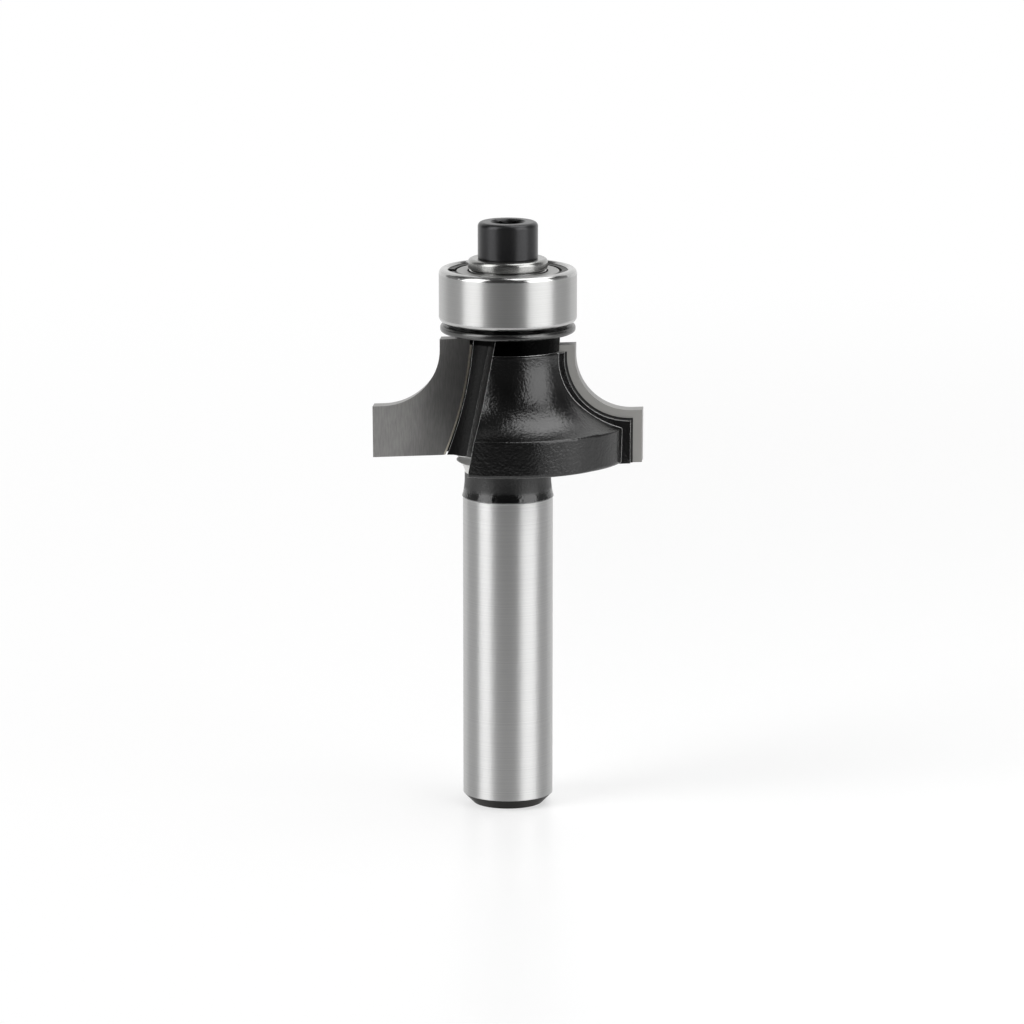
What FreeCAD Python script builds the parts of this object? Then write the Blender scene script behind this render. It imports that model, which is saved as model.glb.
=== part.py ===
import FreeCAD, Part
import math
import operator
import os
import Sketcher

# Carbide-tipped router bit with a guide bearing on its nose.
# Frame: origin at the centre of the shank's end face, +Z up the axis towards the bearing.
# Seen from the front (-Y), wing 1 lies on the left and shows its rake face.

SIZES = {
    # steel bit, from the shank's end upwards
    "shank_diameter": 8.0,
    "shank_length": 27.84,
    "foot_chamfer": 0.9,
    "collar_diameter": 8.14,
    "collar_lip": 0.12,
    "neck_diameter": 7.68,
    "neck_waist": 1.75,
    "neck_length": 3.46,
    "neck_fillet": 1.2,
    "flange_diameter": 19.84,
    "flange_edge_rounding": 0.28,
    "top_edge_rounding": 0.18,
    "hub_diameter": 10.4,
    "hub_length": 1.45,
    "pilot_length": 5.35,
    "pilot_chamfer": 0.2,
    "thread_hole_depth": 4.6,
    "drill_point_angle": 118.0,
    # cutting profile, shared by the tips and the steel behind them
    "cutter_diameter": 24.0,
    "wing_height": 10.56,
    "cove_radius": 5.0,
    "guide_land": 0.92,
    "tip_stand_up": 0.57,
    "shoulder_inset": 0.7,
    "body_cove_margin": 1.8,
    "backing_inset": 0.86,
    "backing_outer_inset": 0.96,
    "backing_width": 0.45,
    # relieved land of each wing, turned about an axis set off towards the flute
    "relief_shift": 1.0,
    "relief_direction": 58.0,
    "relief_rise": 0.2,
    # flutes
    "hook_angle": 10.0,
    "shear_angle": 4.0,
    "flute_lean": 9.5,
    "flute_depth": 10.46,
    "flute_opening": 74.9,
    "flute_root_radius": 2.5,
    "flute_run_out": 0.1,
    # carbide tips and their brazing
    "tip_thickness": 1.5,
    "tip_clearance_angle": 5.0,
    "tip_root_top": 3.44,
    "tip_root_bottom": 5.86,
    "tip_root_radius": 35.0,
    "braze_layer": 0.08,
    "braze_bead": 0.15,
    "braze_recess": 0.06,
    "braze_rim": 0.17,
    "seat_gap": 0.3,
    # guide bearing
    "bearing_diameter": 12.2,
    "bearing_bore": 4.76,
    "bearing_width": 4.73,
    "bearing_corner": 0.42,
    "inner_ring_wall": 1.04,
    "outer_ring_wall": 0.82,
    "shield_ledge": 0.26,
    "shield_seat_depth": 0.56,
    "ring_chamfer": 0.15,
    "ball_diameter": 2.38,
    "ball_play": 0.04,
    "groove_radius": 1.26,
    "ball_count": 7,
    "cage_width": 0.9,
    "cage_sheet": 0.18,
    "cage_pocket_play": 0.06,
    "rivet_diameter": 0.32,
    "rivet_head_diameter": 0.56,
    "rivet_head_height": 0.1,
    "shield_sheet": 0.16,
    "shield_running_gap": 0.16,
    "shield_rim_width": 0.72,
    "shield_rise": 0.2,
    "clip_wire": 0.2,
    "clip_width": 0.5,
    "clip_gap_angle": 14.0,
    # washers and cap screw
    "dust_washer_diameter": 11.98,
    "dust_washer_thickness": 0.62,
    "dust_washer_boss": 0.28,
    "dust_washer_boss_diameter": 6.7,
    "dust_washer_rounding": 0.24,
    "retaining_washer_diameter": 7.05,
    "retaining_washer_thickness": 0.9,
    "retaining_washer_rounding": 0.34,
    "washer_lower_rounding": 0.1,
    "screw_diameter": 3.0,
    "screw_length": 5.0,
    "head_diameter": 5.32,
    "head_height": 3.24,
    "head_top_rounding": 0.4,
    "head_lower_rounding": 0.12,
    "screw_end_chamfer": 0.3,
    "key_width": 2.5,
    "key_depth": 1.6,
    "socket_mouth_margin": 0.14,
    "socket_drill_depth": 0.42,
    # clearances, and how far a cut runs past the metal
    "fit_gap": 0.02,
    "screw_play": 0.05,
    "cut_overrun": 1.5,
}

doc = FreeCAD.newDocument("RouterBit")
sheet = doc.addObject("Spreadsheet::Sheet", "Sizes")
for row, (alias, number) in enumerate(SIZES.items(), start=1):
    sheet.set(f"A{row}", alias.replace("_", " "))
    sheet.set(f"B{row}", str(number))
    sheet.setAlias(f"B{row}", alias)
doc.recompute()


# Sizes that remember their formula


class Measure:
    """A number together with the sheet formula that gives it."""

    def __init__(self, value, formula):
        self.value = float(value)
        self.formula = formula

    def __add__(self, other):
        return combined(self, "+", other)

    def __sub__(self, other):
        return combined(self, "-", other)

    def __mul__(self, other):
        return combined(self, "*", other)

    def __truediv__(self, other):
        return combined(self, "/", other)

    def __neg__(self):
        return combined(0, "-", self)


SIGNS = {"+": operator.add, "-": operator.sub, "*": operator.mul, "/": operator.truediv}


def measured(thing):
    return thing if isinstance(thing, Measure) else Measure(thing, str(thing))


def combined(first, sign, second):
    first = measured(first)
    second = measured(second)
    return Measure(SIGNS[sign](first.value, second.value), f"({first.formula} {sign} {second.formula})")


def root(number):
    return Measure(math.sqrt(number.value), f"sqrt({number.formula})")


def sine(angle):
    return Measure(math.sin(math.radians(angle.value)), f"sin({angle.formula} * 1 deg)")


def cosine(angle):
    return Measure(math.cos(math.radians(angle.value)), f"cos({angle.formula} * 1 deg)")


def tangent(angle):
    return Measure(math.tan(math.radians(angle.value)), f"tan({angle.formula} * 1 deg)")


def size(alias):
    return Measure(sheet.get(alias), f"Sizes.{alias}")


FULL_TURN = measured(360)
HEXAGON_HALF_SIDE = FULL_TURN / 12


# Drawing and solid helpers


def bind(thing, **formulas):
    """Ties properties of an object to the sheet; a double underscore stands for a dot."""
    for name, number in formulas.items():
        thing.setExpression(name.replace("__", "."), measured(number).formula)
    return thing


def pinned(sketch, kind, geometry, point, number):
    """Holds one coordinate of a point by a formula, or on the axis where it is a plain 0."""
    if not isinstance(number, Measure) and number == 0:
        axis = -2 if kind == "DistanceX" else -1
        sketch.addConstraint(Sketcher.Constraint("PointOnObject", geometry, point, axis))
        return
    number = measured(number)
    constraint = Sketcher.Constraint(kind, -1, 1, geometry, point, number.value)
    index = sketch.addConstraint(constraint)
    sketch.setExpression(f"Constraints[{index}]", number.formula)


def spot(corner):
    return FreeCAD.Vector(measured(corner[0]).value, measured(corner[1]).value, 0)


def bowed(start, end, radius):
    """Arc from start to end; it bows to the left of that way, or right for a negative radius."""
    chord = end - start
    half = chord.Length / 2
    sagitta = abs(radius) - math.sqrt(radius * radius - half * half)
    left = FreeCAD.Vector(-chord.y, chord.x, 0).normalize()
    return Part.Arc(start, (start + end) / 2 + left * math.copysign(sagitta, radius), end)


def outline(sketch, corners, arcs=None):
    """Closed outline through corners; arcs gives the radius of the side that follows a corner."""
    arcs = arcs or {}
    ends = []
    for number, corner in enumerate(corners):
        start = spot(corner)
        end = spot(corners[(number + 1) % len(corners)])
        if number in arcs:
            radius = arcs[number]
            bend = -1 if radius.value < 0 else 1
            side = sketch.addGeometry(bowed(start, end, radius.value))
            index = sketch.addConstraint(Sketcher.Constraint("Radius", side, bend * radius.value))
            sketch.setExpression(f"Constraints[{index}]", (radius * bend).formula)
        else:
            side = sketch.addGeometry(Part.LineSegment(start, end))
        first = 1 if sketch.getPoint(side, 1).isEqual(start, 1e-6) else 2
        ends.append((side, first, 3 - first))
    for number, (side, first, last) in enumerate(ends):
        following = ends[(number + 1) % len(ends)]
        sketch.addConstraint(Sketcher.Constraint("Coincident", side, last, following[0], following[1]))
        pinned(sketch, "DistanceX", side, first, corners[number][0])
        pinned(sketch, "DistanceY", side, first, corners[number][1])


def turned(name, corners, arcs=None, sweep=360):
    """Body turned about Z from half of its section, corners given as (radius, height)."""
    body = doc.addObject("PartDesign::Body", name + "_turned")
    sketch = body.newObject("Sketcher::SketchObject", name + "_section")
    plane = next(plane for plane in body.Origin.OriginFeatures if plane.Role == "XZ_Plane")
    sketch.AttachmentSupport = [(plane, "")]
    sketch.MapMode = "FlatFace"
    outline(sketch, corners, arcs)
    revolution = body.newObject("PartDesign::Revolution", name + "_revolution")
    revolution.Profile = sketch
    revolution.ReferenceAxis = (sketch, ["V_Axis"])
    revolution.Angle = sweep
    doc.recompute()
    return body


def dressed(body, kind, corners, amount):
    """Rounds or chamfers the round edges of a turned body at (radius, height) corners."""
    base = body.Tip
    names = []
    for number, edge in enumerate(base.Shape.Edges, start=1):
        if not isinstance(edge.Curve, Part.Circle):
            continue
        for radius, height in corners:
            same_radius = abs(edge.Curve.Radius - measured(radius).value) < 1e-5
            same_height = abs(edge.Curve.Center.z - measured(height).value) < 1e-5
            if same_radius and same_height:
                names.append(f"Edge{number}")
    feature = body.newObject("PartDesign::" + kind, f"{body.Name}_{kind.lower()}_{len(body.Group)}")
    feature.Base = (base, names)
    bind(feature, **{"Radius" if kind == "Fillet" else "Size": amount})
    doc.recompute()
    return body


def joined(kind, name, *pieces):
    """Boolean of several objects: MultiFuse, MultiCommon, or Cut of the first by the second."""
    feature = doc.addObject("Part::" + kind, name)
    if kind == "Cut":
        feature.Base, feature.Tool = pieces
    else:
        feature.Shapes = list(pieces)
    doc.recompute()
    return feature


def cylinder(name, radius, bottom, height):
    pillar = doc.addObject("Part::Cylinder", name)
    return bind(pillar, Radius=radius, Height=height, Placement__Base__z=bottom)


nodes = {}


def node(name, feature):
    """Registers a finished piece under the name that its file gets."""
    doc.recompute()
    feature.Label = name
    nodes[name] = feature


# Heights up the axis and shared radii

wing_bottom = size("shank_length") + size("neck_length")
tip_top = wing_bottom + size("wing_height")
cove_height = tip_top - size("guide_land")
ledge_height = cove_height - size("cove_radius")
wing_top = tip_top - size("tip_stand_up")
hub_top = wing_top + size("hub_length")
washer_top = hub_top + size("dust_washer_thickness")
bearing_bottom = washer_top + size("dust_washer_boss")
bearing_middle = bearing_bottom + size("bearing_width") / 2
bearing_top = bearing_bottom + size("bearing_width")
head_bottom = bearing_top + size("retaining_washer_thickness")
head_top = head_bottom + size("head_height")

overrun = size("cut_overrun")
tip_radius = size("cutter_diameter") / 2
guide_radius = size("bearing_diameter") / 2
cove_centre = guide_radius + size("cove_radius")
shoulder_radius = guide_radius - size("shoulder_inset")
body_cove = size("cove_radius") + size("body_cove_margin")
bore_radius = size("bearing_bore") / 2
pitch_radius = (guide_radius + bore_radius) / 2
inner_ring_radius = bore_radius + size("inner_ring_wall")
shield_seat_radius = guide_radius - size("outer_ring_wall")
pilot_radius = bore_radius - size("fit_gap")
thread_hole_radius = size("screw_diameter") / 2 + size("screw_play") / 2


def arc_height(radius, distance, centre=cove_centre):
    """Height on the cove's arc of that radius at that distance from the axis."""
    across = centre - distance
    return cove_height - root(radius * radius - across * across)


# Steel bit
# One turned blank with a relieved land on each wing, cut by two flutes and two tip seats, and a
# narrow raised backing behind each tip.


def wing_section(flange):
    """Outer corners of a wing from its lower edge to its top edge; a cove follows the second."""
    edge = arc_height(body_cove, flange, shoulder_radius + body_cove)
    return [(flange, wing_bottom), (flange, edge), (shoulder_radius, cove_height), (shoulder_radius, wing_top)]


def round_wing(body, section):
    """Rounds a wing's lower edge, its edge under the cove and its top edge."""
    dressed(body, "Fillet", section[:1], size("flange_edge_rounding"))
    dressed(body, "Fillet", [section[1], section[3]], size("top_edge_rounding"))


def blank():
    shank = size("shank_diameter") / 2
    collar = size("collar_diameter") / 2
    neck = size("neck_diameter") / 2
    fillet = size("neck_fillet")
    wing = wing_section(size("flange_diameter") / 2)
    collar_top = size("shank_length") + size("collar_lip")
    waist = size("shank_length") + size("neck_waist")
    waist_rise = waist - collar_top
    waist_run = collar - neck
    waist_radius = (waist_rise * waist_rise + waist_run * waist_run) / (waist_run * 2)
    hole_bottom = hub_top + size("pilot_length") - size("thread_hole_depth")
    point = thread_hole_radius / tangent(size("drill_point_angle") / 2)
    corners = [
        (0, 0),
        (shank - size("foot_chamfer"), 0),
        (shank, size("foot_chamfer")),
        (shank, size("shank_length")),
        (collar, collar_top),
        (neck, waist),
        (neck, wing_bottom - fillet),
        (neck + fillet, wing_bottom),
        *wing,
        (size("hub_diameter") / 2, wing_top),
        (size("hub_diameter") / 2, hub_top),
        (pilot_radius, hub_top),
        (pilot_radius, hub_top + size("pilot_length")),
        (thread_hole_radius, hub_top + size("pilot_length")),
        (thread_hole_radius, hole_bottom),
        (0, hole_bottom - point),
    ]
    # corner numbers of the waist, the neck fillet and the cove
    arcs = {4: waist_radius, 6: fillet, 9: body_cove}
    body = turned("blank", corners, arcs)
    round_wing(body, wing)
    dressed(body, "Chamfer", [(pilot_radius, hub_top + size("pilot_length"))], size("pilot_chamfer"))
    return body


# Wing frame: origin at the cutting point at ledge height, X inwards along the rake face,
# Y backwards from it. Everything drawn in it is pushed along the flute, which leans by the
# flute's lean inwards and by the shear angle forwards.


def wing_sign(turn):
    """1 for wing 1, drawn on the left, and -1 for wing 2, half a turn on."""
    return -1 if turn else 1


def land(turn):
    """Relieved land behind a tip: half a turn of the wing about an axis of its own, set off
    towards the flute, so that the steel falls away from the cutting circle."""
    wing = wing_section(size("flange_diameter") / 2 + size("relief_rise"))
    body = turned(f"land_{turn}", [(0, wing_bottom), *wing, (0, wing_top)], {2: body_cove}, sweep=180)
    round_wing(body, wing)
    shift = size("relief_shift") * wing_sign(turn)
    direction = size("relief_direction")
    body.Placement.Rotation = FreeCAD.Rotation(turn, 0, 0)
    return bind(body, Placement__Base__x=-(shift * cosine(direction)), Placement__Base__y=-(shift * sine(direction)))


def along_flute(name, corners, arcs, turn, bottom, top):
    """Prism of a plan drawn in the wing frame, between two heights, pushed along the flute."""
    sketch = doc.addObject("Sketcher::SketchObject", name + "_plan")
    outline(sketch, corners, arcs)
    bind(sketch, Placement__Rotation__Angle=size("hook_angle") + turn)
    bind(sketch, Placement__Base__x=-tip_radius * wing_sign(turn), Placement__Base__z=ledge_height)
    hook = size("hook_angle")
    inwards = tangent(size("flute_lean"))
    forwards = tangent(size("shear_angle"))
    stretch = root(inwards * inwards + forwards * forwards + 1)
    across_x = (inwards * cosine(hook) + forwards * sine(hook)) * wing_sign(turn)
    across_y = (inwards * sine(hook) - forwards * cosine(hook)) * wing_sign(turn)
    prism = doc.addObject("Part::Extrusion", name)
    prism.Base = sketch
    prism.DirMode = "Custom"
    prism.Solid = True
    bind(prism, Dir__x=across_x, Dir__y=across_y, Dir__z=1)
    bind(prism, LengthFwd=(top - ledge_height) * stretch, LengthRev=(ledge_height - bottom) * stretch)
    doc.recompute()
    return prism


def strip(name, turn, front, back):
    """Slab parallel to the rake face, between two distances behind it."""
    corners = [(-overrun, front), (tip_radius, front), (tip_radius, back), (-overrun, back)]
    return along_flute(name, corners, None, turn, wing_bottom - overrun, tip_top + overrun)


def upright(name, corners, arcs, turn):
    """Profile in the axial plane of the cutting point, corners as (radius, height), pushed both
    ways across that plane with the tip's clearance."""
    sketch = doc.addObject("Sketcher::SketchObject", name + "_profile")
    outline(sketch, [(-corner[0], corner[1]) for corner in corners], arcs)
    sketch.Placement.Rotation = FreeCAD.Rotation(turn, 0, 90)
    inwards = tangent(size("tip_clearance_angle"))
    reach = (size("tip_thickness") + size("backing_width")) * 2
    stretch = root(inwards * inwards + 1)
    prism = doc.addObject("Part::Extrusion", name)
    prism.Base = sketch
    prism.DirMode = "Custom"
    prism.Solid = True
    bind(prism, Dir__x=inwards * wing_sign(turn), Dir__y=wing_sign(turn), Dir__z=0)
    bind(prism, LengthFwd=reach * stretch, LengthRev=reach * stretch)
    doc.recompute()
    return prism


def root_arc(shift=0):
    """Ends of the tip's curved inner edge, moved towards the axis by a shift."""
    top = (size("tip_root_top") - shift, tip_top)
    bottom = (size("tip_root_bottom") - shift, wing_bottom)
    return top, bottom


def flute(turn):
    """Gullet: along the rake face, round its root corner and out along the wall."""
    depth = size("flute_depth")
    opening = size("flute_opening")
    radius = size("flute_root_radius")
    reach = size("cutter_diameter")
    run = radius / tangent(opening / 2)
    corners = [
        (-overrun, 0),
        (depth - run, 0),
        (depth - cosine(opening) * run, -(sine(opening) * run)),
        (depth - cosine(opening) * reach, -(sine(opening) * reach)),
        (-overrun, -(sine(opening) * reach)),
    ]
    bottom = wing_bottom - size("flute_run_out")
    return along_flute(f"flute_{turn}", corners, {1: radius}, turn, bottom, hub_top)


def backing(turn):
    """Raised steel right behind a tip, the cutting profile set in from the tip's edge."""
    inset = size("backing_inset")
    cove = size("cove_radius") + inset
    outer = tip_radius - size("backing_outer_inset")
    inner = guide_radius - inset
    core = size("neck_diameter") / 2
    corners = [
        (core, wing_top),
        (core, wing_bottom),
        (outer, wing_bottom),
        (outer, arc_height(cove, outer)),
        (inner, cove_height),
        (inner, wing_top),
    ]
    profile = upright(f"backing_profile_{turn}", corners, {3: -cove}, turn)
    front = size("tip_thickness") + size("braze_layer")
    slab = strip(f"backing_slab_{turn}", turn, front, front + size("backing_width"))
    return joined("MultiCommon", f"backing_{turn}", profile, slab)


def seat(turn):
    """Pocket for a tip: its thickness and the braze layer deep, open outwards, up and down."""
    top, bottom = root_arc(size("seat_gap"))
    outside = tip_radius + overrun
    below = wing_bottom - overrun
    corners = [top, bottom, (bottom[0], below), (outside, below), (outside, hub_top), (top[0], hub_top)]
    profile = upright(f"seat_profile_{turn}", corners, {0: size("tip_root_radius")}, turn)
    back = size("tip_thickness") + size("braze_layer")
    slab = strip(f"seat_slab_{turn}", turn, -size("tip_thickness"), back)
    return joined("MultiCommon", f"seat_{turn}", profile, slab)


def tip(turn):
    """Carbide tip: guide land, cove, ledge and straight outer edge, curved inner edge."""
    top, bottom = root_arc()
    corners = [
        top,
        bottom,
        (tip_radius, wing_bottom),
        (tip_radius, ledge_height),
        (cove_centre, ledge_height),
        (guide_radius, cove_height),
        (guide_radius, tip_top),
    ]
    arcs = {0: size("tip_root_radius"), 4: -size("cove_radius")}
    profile = upright(f"tip_profile_{turn}", corners, arcs, turn)
    slab = strip(f"tip_slab_{turn}", turn, 0, size("tip_thickness"))
    return joined("MultiCommon", f"tip_{turn}", profile, slab)


def braze(turn, carbide):
    """Braze layer behind a tip, with a bead along its inner edge and a rim past the backing."""
    inset = size("backing_inset") - size("braze_rim")
    cove = size("cove_radius") + inset
    outer = tip_radius - size("backing_outer_inset") + size("braze_rim")
    inner = guide_radius - inset
    top, bottom = root_arc(size("braze_bead"))
    corners = [
        (top[0], wing_top),
        bottom,
        (outer, wing_bottom),
        (outer, arc_height(cove, outer)),
        (inner, cove_height),
        (inner, wing_top),
    ]
    profile = upright(f"braze_profile_{turn}", corners, {0: size("tip_root_radius"), 3: -cove}, turn)
    back = size("tip_thickness") + size("braze_layer")
    slab = strip(f"braze_slab_{turn}", turn, size("braze_recess"), back)
    layer = joined("MultiCommon", f"braze_layer_{turn}", profile, slab)
    return joined("Cut", f"braze_{turn}", layer, carbide)


def steel_bit():
    relieved = joined("MultiFuse", "relieved", blank(), land(0), land(180))
    fluted = joined("Cut", "fluted", relieved, joined("MultiFuse", "flutes", flute(0), flute(180)))
    seated = joined("Cut", "seated", fluted, joined("MultiFuse", "seats", seat(0), seat(180)))
    node("bit_body", joined("MultiFuse", "steel_bit", seated, backing(0), backing(180)))


def tips():
    for number, turn in enumerate((0, 180), start=1):
        carbide = tip(turn)
        node(f"carbide_tip_{number}", carbide)
        node(f"braze_{number}", braze(turn, carbide))


# Washers and cap screw, clamped on the pilot


def dust_washer():
    """Shield washer below the bearing; only its boss touches the inner ring."""
    rim = size("dust_washer_diameter") / 2
    boss = size("dust_washer_boss_diameter") / 2
    corners = [
        (bore_radius, hub_top),
        (rim, hub_top),
        (rim, washer_top),
        (boss, washer_top),
        (boss, bearing_bottom),
        (bore_radius, bearing_bottom),
    ]
    body = turned("dust_washer", corners)
    dressed(body, "Fillet", [(rim, hub_top), (rim, washer_top)], size("dust_washer_rounding"))
    node("dust_washer", body)


def retaining_washer():
    rim = size("retaining_washer_diameter") / 2
    bore = size("screw_diameter") / 2 + size("screw_play")
    corners = [(bore, bearing_top), (rim, bearing_top), (rim, head_bottom), (bore, head_bottom)]
    body = turned("retaining_washer", corners)
    dressed(body, "Fillet", [(rim, head_bottom)], size("retaining_washer_rounding"))
    dressed(body, "Fillet", [(rim, bearing_top)], size("washer_lower_rounding"))
    node("retaining_washer", body)


def cap_screw():
    """Socket-head cap screw that holds the bearing; its socket takes a hexagon key."""
    head = size("head_diameter") / 2
    stem = size("screw_diameter") / 2
    end = head_bottom - size("screw_length")
    corners = [
        (0, end),
        (stem, end),
        (stem, head_bottom),
        (head, head_bottom),
        (head, head_top),
        (0, head_top),
    ]
    body = turned("screw", corners)
    dressed(body, "Fillet", [(head, head_top)], size("head_top_rounding"))
    dressed(body, "Fillet", [(head, head_bottom)], size("head_lower_rounding"))
    dressed(body, "Chamfer", [(stem, end)], size("screw_end_chamfer"))

    key_flat = size("key_width") / 2
    key_corner = key_flat / cosine(HEXAGON_HALF_SIDE)
    floor = head_top - size("key_depth")
    hexagon = bind(doc.addObject("Part::Prism", "socket_hexagon"), Circumradius=key_corner)
    bind(hexagon, Height=size("key_depth") + overrun, Placement__Base__z=floor)
    mouth = key_corner + size("socket_mouth_margin")
    flare_depth = mouth - key_flat
    flare = bind(doc.addObject("Part::Cone", "socket_mouth"), Radius1=key_flat, Radius2=mouth)
    bind(flare, Height=flare_depth, Placement__Base__z=head_top - flare_depth)
    drill_depth = size("socket_drill_depth")
    drill = bind(doc.addObject("Part::Cone", "socket_drill"), Radius1=0, Radius2=key_flat)
    bind(drill, Height=drill_depth, Placement__Base__z=floor - drill_depth)
    socket = joined("MultiFuse", "socket", hexagon, flare, drill)
    node("cap_screw", joined("Cut", "screw", body, socket))


# Guide bearing


def raceway(name):
    """Ring tool that grinds the groove of a raceway, on the balls' pitch circle."""
    tool = doc.addObject("Part::Torus", name)
    bind(tool, Radius2=size("groove_radius"), Placement__Base__z=bearing_middle)
    return tool


def outer_ring():
    seat_radius = shield_seat_radius
    shoulder = seat_radius - size("shield_ledge")
    depth = size("shield_seat_depth")
    corners = [
        (seat_radius, bearing_bottom),
        (guide_radius, bearing_bottom),
        (guide_radius, bearing_top),
        (seat_radius, bearing_top),
        (seat_radius, bearing_top - depth),
        (shoulder, bearing_top - depth),
        (shoulder, bearing_bottom + depth),
        (seat_radius, bearing_bottom + depth),
    ]
    body = turned("outer_ring", corners)
    rims = [(guide_radius, bearing_bottom), (guide_radius, bearing_top)]
    mouths = [(seat_radius, bearing_bottom), (seat_radius, bearing_top)]
    dressed(body, "Fillet", rims, size("bearing_corner"))
    dressed(body, "Chamfer", mouths, size("ring_chamfer"))
    groove = raceway("outer_raceway")
    bind(groove, Radius1=pitch_radius + size("ball_diameter") / 2 + size("ball_play") - size("groove_radius"))
    node("bearing_outer_ring", joined("Cut", "outer_ring", body, groove))


def inner_ring():
    corners = [
        (bore_radius, bearing_bottom),
        (inner_ring_radius, bearing_bottom),
        (inner_ring_radius, bearing_top),
        (bore_radius, bearing_top),
    ]
    body = turned("inner_ring", corners)
    dressed(body, "Chamfer", corners, size("ring_chamfer"))
    groove = raceway("inner_raceway")
    bind(groove, Radius1=pitch_radius - size("ball_diameter") / 2 - size("ball_play") + size("groove_radius"))
    node("bearing_inner_ring", joined("Cut", "inner_ring", body, groove))


def ring_of_spheres(name, radius):
    """One sphere for each ball place; the first stands on +X."""
    spheres = []
    for number in range(int(sheet.get("ball_count"))):
        angle = FULL_TURN / size("ball_count") * number
        sphere = bind(doc.addObject("Part::Sphere", f"{name}_{number + 1}"), Radius=radius)
        bind(sphere, Placement__Base__x=pitch_radius * cosine(angle))
        bind(sphere, Placement__Base__y=pitch_radius * sine(angle))
        bind(sphere, Placement__Base__z=bearing_middle)
        spheres.append(sphere)
    return spheres


def balls():
    for number, ball in enumerate(ring_of_spheres("ball", size("ball_diameter") / 2), start=1):
        node(f"bearing_ball_{number}", ball)


def tube(name, inner, outer, bottom, height):
    shell = cylinder(name + "_outside", outer, bottom, height)
    hollow = cylinder(name + "_inside", inner, bottom - overrun, height + overrun * 2)
    return joined("Cut", name, shell, hollow)


def cage():
    """Two pressed ribbons that meet on the ball circle, riveted together between the balls."""
    pocket = size("ball_diameter") / 2 + size("cage_pocket_play")
    dome = pocket + size("cage_sheet")
    inner = pitch_radius - size("cage_width") / 2
    outer = pitch_radius + size("cage_width") / 2
    sheet_metal = size("cage_sheet")
    rivet = size("rivet_diameter") / 2
    flats = {"lower": bearing_middle - sheet_metal, "upper": bearing_middle}
    blocks = {"lower": bearing_middle - dome - overrun, "upper": bearing_middle}
    for half in ("lower", "upper"):
        ribbon = tube(f"ribbon_{half}", inner, outer, flats[half], sheet_metal)
        domes = joined("MultiFuse", f"domes_{half}", *ring_of_spheres(f"dome_{half}", dome))
        block = tube(f"block_{half}", inner, outer, blocks[half], dome + overrun)
        bulges = joined("MultiCommon", f"bulges_{half}", domes, block)
        pressed = joined("MultiFuse", f"pressed_{half}", ribbon, bulges)
        hollows = joined("MultiFuse", f"hollows_{half}", *ring_of_spheres(f"hollow_{half}", pocket))
        bores = rivet_ring(f"hole_{half}", rivet + size("fit_gap"), sheet_metal * 2)
        holes = joined("MultiFuse", f"rivet_holes_{half}", *bores)
        opened = joined("Cut", f"opened_{half}", pressed, hollows)
        node(f"cage_half_{half}", joined("Cut", f"cage_{half}", opened, holes))


def rivet_ring(name, radius, height):
    """Upright pins halfway between the ball places, as tall above as below the ball circle."""
    pins = []
    step = FULL_TURN / size("ball_count")
    for number in range(int(sheet.get("ball_count"))):
        angle = step * number + step / 2
        pin = cylinder(f"{name}_{number + 1}", radius, bearing_middle - height, height * 2)
        bind(pin, Placement__Base__x=pitch_radius * cosine(angle))
        bind(pin, Placement__Base__y=pitch_radius * sine(angle))
        pins.append(pin)
    return pins


def rivets():
    head = size("rivet_head_diameter") / 2
    sheet_metal = size("cage_sheet")
    full = sheet_metal + size("rivet_head_height")
    stems = joined("MultiFuse", "rivet_stems", *rivet_ring("stem", size("rivet_diameter") / 2, full))
    heads = joined("MultiFuse", "rivet_heads", *rivet_ring("head", head, full))
    inner = pitch_radius - head * 2
    outer = pitch_radius + head * 2
    gap = tube("between_heads", inner, outer, bearing_middle - sheet_metal, sheet_metal * 2)
    ends = joined("Cut", "rivet_ends", heads, gap)
    node("cage_rivets", joined("MultiFuse", "rivets", stems, ends))


def shield(name, turn):
    """Pressed shield that rests on the ring's seat, its middle raised towards the end face."""
    seat_radius = shield_seat_radius - size("fit_gap")
    face = seat_radius - size("shield_rim_width")
    bore = inner_ring_radius + size("shield_running_gap")
    metal = size("shield_sheet")
    low = size("bearing_width") / 2 - size("shield_seat_depth")
    high = low + size("shield_rise")
    corners = [
        (bore, high),
        (face - metal, high),
        (face - metal, low),
        (seat_radius, low),
        (seat_radius, low + metal),
        (face, low + metal),
        (face, high + metal),
        (bore, high + metal),
    ]
    body = turned(name, corners)
    dressed(body, "Fillet", [(face, high + metal)], metal / 2)
    settle(body, turn)
    node(name, body)


def settle(body, turn):
    """Puts a piece drawn above the bearing's middle in place, right way up or turned over."""
    body.Placement.Rotation = FreeCAD.Rotation(FreeCAD.Vector(1, 0, 0), turn)
    bind(body, Placement__Base__z=bearing_middle)
    doc.recompute()


def clip(name, turn):
    """Open snap ring of flat wire that holds a shield down."""
    outer = shield_seat_radius - size("fit_gap")
    inner = outer - size("clip_width")
    low = size("bearing_width") / 2 - size("shield_seat_depth") + size("shield_sheet")
    corners = [(inner, low), (outer, low), (outer, low + size("clip_wire")), (inner, low + size("clip_wire"))]
    body = turned(name, corners)
    body.Tip.Midplane = True
    bind(body.Tip, Angle=FULL_TURN - size("clip_gap_angle"))
    settle(body, turn)
    node(name, body)


steel_bit()
tips()
dust_washer()
inner_ring()
outer_ring()
balls()
cage()
rivets()
shield("bearing_shield_lower", 180)
shield("bearing_shield_upper", 0)
clip("shield_clip_lower", 180)
clip("shield_clip_upper", 0)
retaining_washer()
cap_screw()

doc.recompute()
for thing in doc.Objects:
    if "Invalid" in thing.State or "Error" in thing.State:
        raise RuntimeError(f"{thing.Label} failed: {thing.State}")

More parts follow.
